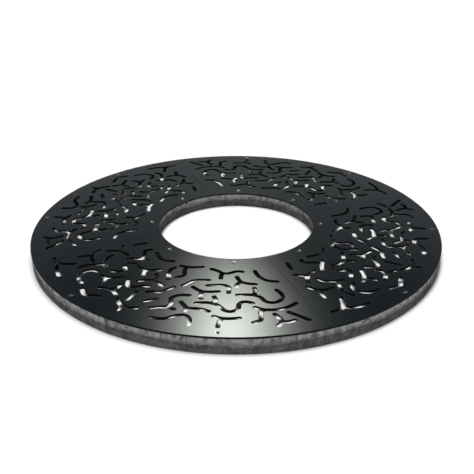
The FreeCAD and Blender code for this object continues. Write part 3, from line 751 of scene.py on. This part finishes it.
def make_screw_steel():
    """Stainless steel with fine rings from turning, cloudy passivation, and painted shade in the socket."""
    finish, tree, surface, place = new_finish("turned_stainless")
    height = add_node(tree, "ShaderNodeSeparateXYZ", {0: place}).outputs["Z"]
    level_place = calculate_vector(tree, "MULTIPLY", place, (1.0, 1.0, 0.0))
    reach = calculate_vector(tree, "LENGTH", level_place)
    ring_place = add_node(tree, "ShaderNodeCombineXYZ", {"X": reach, "Z": height}).outputs[0]
    rings = cloud(tree, ring_place, RINGS_PER_METRE, SMOOTH)
    patches = fade(tree, cloud(tree, place, STEEL_PATCHES_PER_METRE), *STEEL_PATCHES)
    steel = blend_colours(tree, patches, steel_dark, steel_light)
    # The inside of the socket is darkened with painted shade.
    in_socket = fade(tree, reach, SOCKET_MOUTH + SOCKET_SHADE_BORDER, SOCKET_MOUTH - SOCKET_SHADE_BORDER)
    socket_shade = calculate(tree, "MULTIPLY", in_socket, fade(tree, height, *SOCKET_SHADE_HEIGHTS))
    colour = blend_colours(tree, socket_shade, steel, socket_painted_shade)
    roughness = fade(tree, calculate(tree, "ADD", rings, patches), *STEEL_GRAIN, *STEEL_ROUGHNESS)
    bump = add_node(tree, "ShaderNodeBump", {**RING_BUMP, "Height": rings})
    shader = add_node(tree, "ShaderNodeBsdfPrincipled", {
        "Base Color": colour, "Metallic": STEEL_METALLIC, "Roughness": roughness, "Normal": bump.outputs[0]})
    tree.links.new(shader.outputs["BSDF"], surface)
    return finish


def make_screw_mesh():
    """Screw along Z with the top of its head at zero. The cone is as deep as its radius grows."""
    shank_top = SCREW_RADIUS - HEAD_RADIUS
    thread_start = SCREW_POINT - SCREW_LENGTH
    thread_end = shank_top - SCREW_PITCH
    loops = [round_loop(-SCREW_LENGTH, SCREW_ROOT - SCREW_POINT / 2)]
    loops += thread_loops(thread_start, thread_end, SCREW_ROOT, SCREW_RADIUS, SCREW_PITCH)
    profile = (
        (shank_top - SCREW_PITCH / 2, SCREW_RADIUS),
        (shank_top, SCREW_RADIUS),
        (-HEAD_RIM, HEAD_RADIUS - HEAD_RIM),
        (-HEAD_ROUND, HEAD_RADIUS - HEAD_RIM),
        (0, HEAD_RADIUS - HEAD_RIM - HEAD_ROUND),
        (0, SOCKET_MOUTH),
        (-SOCKET_CHAMFER, hexagon(SOCKET_WIDTH)),
        (-SOCKET_DEPTH, hexagon(SOCKET_WIDTH)),
        (-SOCKET_POINT, SOCKET_POINT_RADIUS),
    )
    loops += [round_loop(height, radius) for height, radius in profile]
    shape = bmesh.new()
    add_loft(shape, loops)
    return close_mesh(shape, "countersunk_screw")


screw_mesh = make_screw_mesh()
screw_mesh.materials.append(make_screw_steel())
screw_count = 0
for quarter in QUARTERS:
    for row in ("inner", "outer"):
        node = f"{quarter}_{row}_screws"
        for number, solid in enumerate(solids_of(node), start=1):
            middles = [sum(span(solid, axis)) / 2 for axis in (heading_at(0), heading_at(QUARTER_TURN))]
            origin = Vector((*middles, span(solid, UP)[1]))
            stopped_at = heading_at(SCREW_TURN * screw_count)
            piece = place_fastener(f"{quarter}_{row}_screw_{number}", screw_mesh, origin, UP, stopped_at)
            screw_count += 1
            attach(piece, f"{quarter}_plate")
            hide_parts(node)


# Ground, light and camera
# A plain white ground, shaded close to the foot of the frame, under a soft light from straight above. A
# second soft light, far behind the grate, lies as a sheen on the front plate. The backdrop is pale near the
# horizon and dark higher up.
VIEW_TURN = math.radians(-21)
PLATE_TOP = cad_box[1].z
GROUND_HALF = 30.0
CONTACT_REACH = 0.019
CONTACT_SAMPLES = 8
ground_lit = (0.28, 0.28, 0.28, 1)
ground_seen = (0.965, 0.965, 0.965, 1)

# Backdrop brightness by the height of a direction, which is the sine of its angle above the horizon.
LOW_HEIGHTS = (math.sin(math.radians(12)), math.sin(math.radians(17.5)))
LOW_STRENGTHS = (0.76, 0.0)
HIGH_HEIGHTS = (0.30, 0.49)
HIGH_STRENGTHS = (0.25, 0.015)
SIDE_RISE = 0.15
TINT_HEIGHTS = (0.14, 0.25)
backdrop_low = (1, 1, 1, 1)
backdrop_high = (0.92, 0.98, 1.0, 1)

# Lights. Places are to the right, away and up, as the camera sees them.
OVERHEAD_ENERGY = 3.1
OVERHEAD_ANGLE = math.radians(16)
OVERHEAD_PLACE = (-0.17, -0.02, 3)
SHEEN_ENERGY = 1020
SHEEN_COLOUR = (0.95, 1.0, 0.91)
SHEEN_SIZE = 4.9
SHEEN_SPREAD = (0.675, 0.757)
SHEEN_NARROWING = (-2.2, 0.0, 1.55, 1.0)
SHEEN_MIDDLE = (0.5, 0.5, 0.0)
SHEEN_PLACE = (-0.145, 9.4, 7.03)
SHEEN_TARGET = (0, -0.61, 0)

# Camera, with its sensor and its lens in millimetres.
SENSOR_WIDTH = 36.0
LENS = 51.1
EYE = (0.0028, -1.9943, 0.9366 + PLATE_TOP)
AIM = (0.0028, -0.1057, PLATE_TOP)


def from_camera(right, away, up):
    """Place given as the camera sees it: to the right, away from it, and above the ground."""
    cosine, sine = math.cos(VIEW_TURN), math.sin(VIEW_TURN)
    return Vector((right * cosine - away * sine, right * sine + away * cosine, up))


def look_at(piece, place, target):
    """Sets up a light or the camera at a place, turned towards its target."""
    piece.location = place
    piece.rotation_mode = "QUATERNION"
    piece.rotation_quaternion = (target - place).to_track_quat("-Z", "Y")
    scene.collection.objects.link(piece)


ground_corners = [(-GROUND_HALF, -GROUND_HALF, 0), (GROUND_HALF, -GROUND_HALF, 0),
                  (GROUND_HALF, GROUND_HALF, 0), (-GROUND_HALF, GROUND_HALF, 0)]
ground_mesh = bpy.data.meshes.new("ground")
ground_mesh.from_pydata(ground_corners, [], [(0, 1, 2, 3)])
ground = bpy.data.objects.new("ground", ground_mesh)
scene.collection.objects.link(ground)
white_ground = bpy.data.materials.new("white_ground")
tree, surface = start_nodes(white_ground, "ShaderNodeOutputMaterial")
path = add_node(tree, "ShaderNodeLightPath").outputs
mirrored = calculate(tree, "MAXIMUM", path["Is Glossy Ray"], path["Is Transmission Ray"])
in_view = calculate(tree, "MAXIMUM", path["Is Camera Ray"], mirrored)
ground_colour = blend_colours(tree, in_view, ground_lit, ground_seen)
shaded = add_node(tree, "ShaderNodeAmbientOcclusion", {"Color": ground_colour, "Distance": CONTACT_REACH},
                  samples=CONTACT_SAMPLES)
matte = add_node(tree, "ShaderNodeBsdfDiffuse", {"Color": shaded.outputs["Color"]})
tree.links.new(matte.outputs[0], surface)
ground_mesh.materials.append(white_ground)

world = bpy.data.worlds.new("studio")
scene.world = world
tree, surface = start_nodes(world, "ShaderNodeOutputWorld")
heading = add_node(tree, "ShaderNodeTexCoord").outputs["Generated"]
height = add_node(tree, "ShaderNodeSeparateXYZ", {0: heading}).outputs["Z"]
to_the_right = calculate_vector(tree, "DOT_PRODUCT", heading, from_camera(1, 0, 0))
rise = calculate(tree, "MULTIPLY", calculate(tree, "ABSOLUTE", to_the_right), SIDE_RISE)
low_backdrop = fade(tree, height, *LOW_HEIGHTS, *LOW_STRENGTHS)
high_backdrop = fade(tree, calculate(tree, "SUBTRACT", height, rise), *HIGH_HEIGHTS, *HIGH_STRENGTHS)
backdrop = add_node(tree, "ShaderNodeBackground", {
    "Color": blend_colours(tree, fade(tree, height, *TINT_HEIGHTS), backdrop_low, backdrop_high),
    "Strength": calculate(tree, "ADD", low_backdrop, high_backdrop)})
tree.links.new(backdrop.outputs[0], surface)

overhead = bpy.data.lights.new("overhead_light", "SUN")
overhead.energy = OVERHEAD_ENERGY
overhead.angle = OVERHEAD_ANGLE
overhead_lamp = bpy.data.objects.new("overhead_light", overhead)
overhead_lamp.visible_glossy = False
look_at(overhead_lamp, from_camera(*OVERHEAD_PLACE), Vector((0, 0, 0)))

# The sheen light is brightest in its middle, fades like a bell curve, and narrows towards its lower end.
sheen = bpy.data.lights.new("sheen_light", "AREA")
sheen.shape = "SQUARE"
sheen.size = SHEEN_SIZE
sheen.energy = SHEEN_ENERGY
sheen.color = SHEEN_COLOUR
tree, surface = start_nodes(sheen, "ShaderNodeOutputLight")
across = add_node(tree, "ShaderNodeNewGeometry").outputs["Parametric"]
off_centre = calculate_vector(tree, "SUBTRACT", across, SHEEN_MIDDLE)
to_spreads = (SHEEN_SIZE / SHEEN_SPREAD[0], SHEEN_SIZE / SHEEN_SPREAD[1], 0.0)
in_spreads = calculate_vector(tree, "MULTIPLY", off_centre, to_spreads)
offsets = add_node(tree, "ShaderNodeSeparateXYZ", {0: in_spreads}).outputs
sideways = calculate(tree, "MULTIPLY", offsets["X"], fade(tree, offsets["Y"], *SHEEN_NARROWING))
shaped = add_node(tree, "ShaderNodeCombineXYZ", {"X": sideways, "Y": offsets["Y"]}).outputs[0]
distance = calculate_vector(tree, "LENGTH", shaped)
drop = calculate(tree, "DIVIDE", calculate(tree, "MULTIPLY", distance, distance), -2)
glow = add_node(tree, "ShaderNodeEmission", {"Strength": calculate(tree, "EXPONENT", drop)})
tree.links.new(glow.outputs[0], surface)
sheen_lamp = bpy.data.objects.new("sheen_light", sheen)
sheen_lamp.visible_diffuse = False
look_at(sheen_lamp, from_camera(*SHEEN_PLACE), from_camera(*SHEEN_TARGET))

camera_data = bpy.data.cameras.new("camera")
camera_data.sensor_width = SENSOR_WIDTH
camera_data.lens = LENS
camera = bpy.data.objects.new("camera", camera_data)
look_at(camera, from_camera(*EYE), from_camera(*AIM))
scene.camera = camera
scene.view_settings.view_transform = "Standard"
